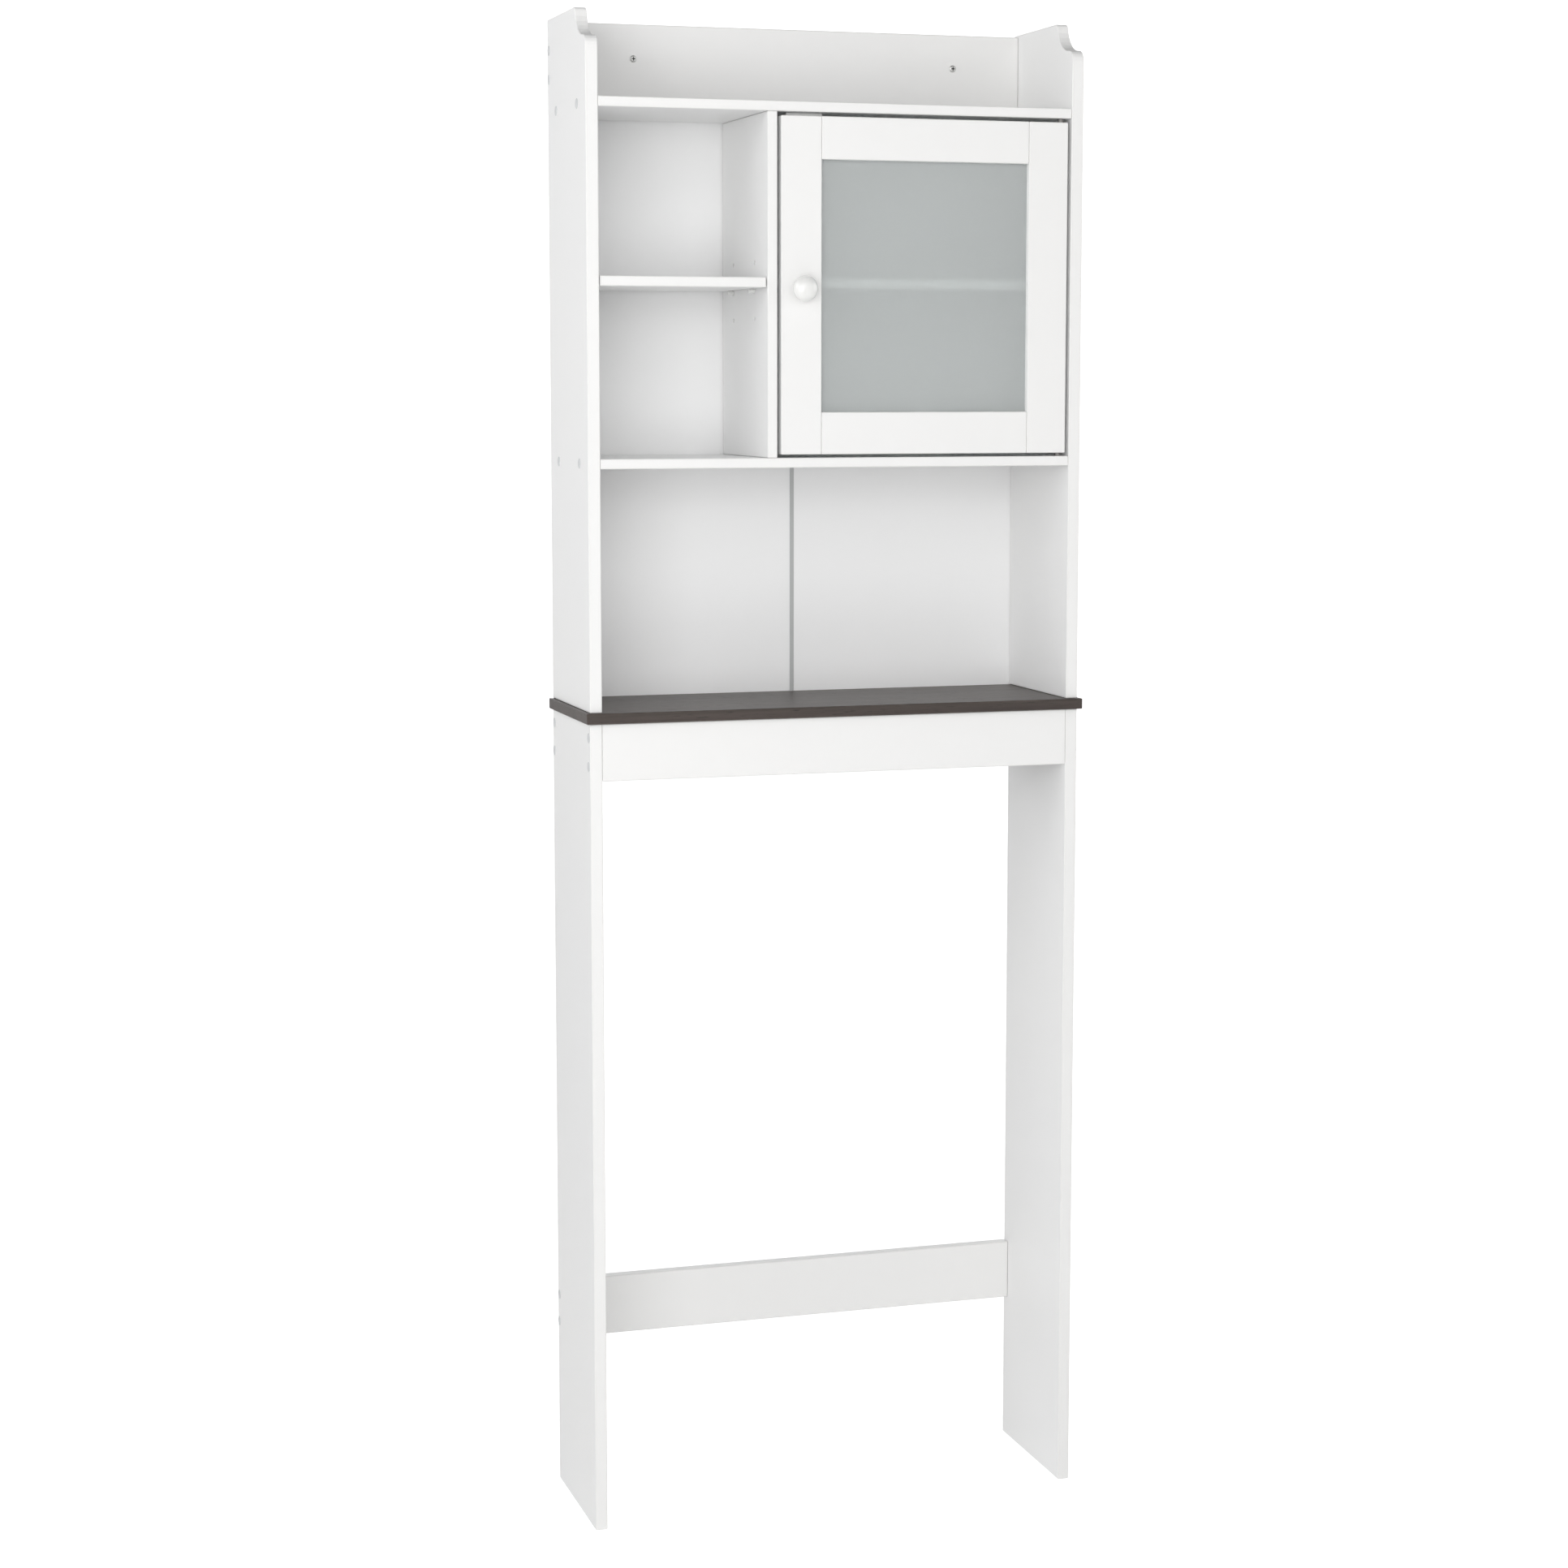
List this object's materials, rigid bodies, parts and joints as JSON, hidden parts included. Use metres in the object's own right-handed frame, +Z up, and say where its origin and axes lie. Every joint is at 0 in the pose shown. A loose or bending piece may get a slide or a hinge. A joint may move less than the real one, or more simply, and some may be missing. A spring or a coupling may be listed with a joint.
{
  "type": "over-the-toilet storage rack",
  "caption": "Tall white rack that stands over a toilet: two leg panels, a dark counter board, open cubbies and a hinged frosted glass door cabinet.",
  "frame": {"origin": "on the floor, under the middle of the bounding box", "axes": "+Z up, +X to the viewer's right along the width, front towards -Y"},
  "size_m": [0.64, 0.2284, 1.855],
  "materials": {
    "white_paint": "white satin painted fibreboard",
    "dark_wood": "dark espresso wood-grain foil",
    "hardboard": "white-faced thin hardboard",
    "frosted_glass": "frosted",
    "white_plastic": "white",
    "glazed_white": "glossy white",
    "beech": "bare beech",
    "zinc_steel": "zinc plated",
    "screw": "white-capped steel screw"
  },
  "bodies": {
    "root": {"back_joint_strip": "white_plastic", "counter_board": "dark_wood", "front_apron": "white_paint", "left_back_panel": "hardboard", "left_dowel_front": "beech", "left_dowel_rear": "beech", "left_leg_panel": "white_paint", "left_screw_front_apron": "screw", "left_screw_middle_shelf": "screw", "left_screw_rear_apron": "screw", "left_screw_stretcher": "screw", "left_screw_top_rail": "screw", "left_screw_top_shelf": "screw", "left_shelf_pin_inner_front": "white_plastic", "left_shelf_pin_inner_rear": "white_plastic", "left_shelf_pin_outer_front": "white_plastic", "left_shelf_pin_outer_rear": "white_plastic", "left_upper_side": "white_paint", "lower_pivot_pin": "zinc_steel", "lower_rear_stretcher": "white_paint", "magnetic_catch": "white_plastic", "middle_shelf": "white_paint", "partition": "white_paint", "rear_apron": "white_paint", "right_back_panel": "hardboard", "right_dowel_front": "beech", "right_dowel_rear": "beech", "right_leg_panel": "white_paint", "right_screw_front_apron": "screw", "right_screw_middle_shelf": "screw", "right_screw_rear_apron": "screw", "right_screw_stretcher": "screw", "right_screw_top_rail": "screw", "right_screw_top_shelf": "screw", "right_shelf_pin_inner_front": "white_plastic", "right_shelf_pin_inner_rear": "white_plastic", "right_shelf_pin_outer_front": "white_plastic", "right_shelf_pin_outer_rear": "white_plastic", "right_upper_side": "white_paint", "top_back_rail": "white_paint", "top_shelf": "white_paint", "upper_pivot_pin": "zinc_steel", "wall_screw_left": "zinc_steel", "wall_screw_right": "zinc_steel"},
    "door": {"door_latch_stile": "white_paint", "door_hinge_stile": "white_paint", "door_top_rail": "white_paint", "door_bottom_rail": "white_paint", "frosted_glass": "frosted_glass", "glass_bead_bottom": "white_plastic", "glass_bead_top": "white_plastic", "glass_bead_left": "white_plastic", "glass_bead_right": "white_plastic", "door_knob": "glazed_white", "knob_screw": "zinc_steel", "lower_pivot_bush": "white_plastic", "upper_pivot_bush": "white_plastic", "strike_plate": "zinc_steel"},
    "left_shelf": {"left_adjustable_shelf": "white_paint"},
    "right_shelf": {"right_adjustable_shelf": "white_paint"}
  },
  "joints": [
    {"name": "door_hinge", "type": "hinge", "parent": "root", "child": "door", "pos_m": [0.2875, -0.0807, 1.326], "axis": [0, 0, 1], "range_deg": [0, 105]},
    {"name": "left_shelf_lift", "type": "slide", "parent": "root", "child": "left_shelf", "axis": [0, 0, 1], "range_m": [0, 0.06]},
    {"name": "right_shelf_lift", "type": "slide", "parent": "root", "child": "right_shelf", "axis": [0, 0, 1], "range_m": [0, 0.06]}
  ]
}
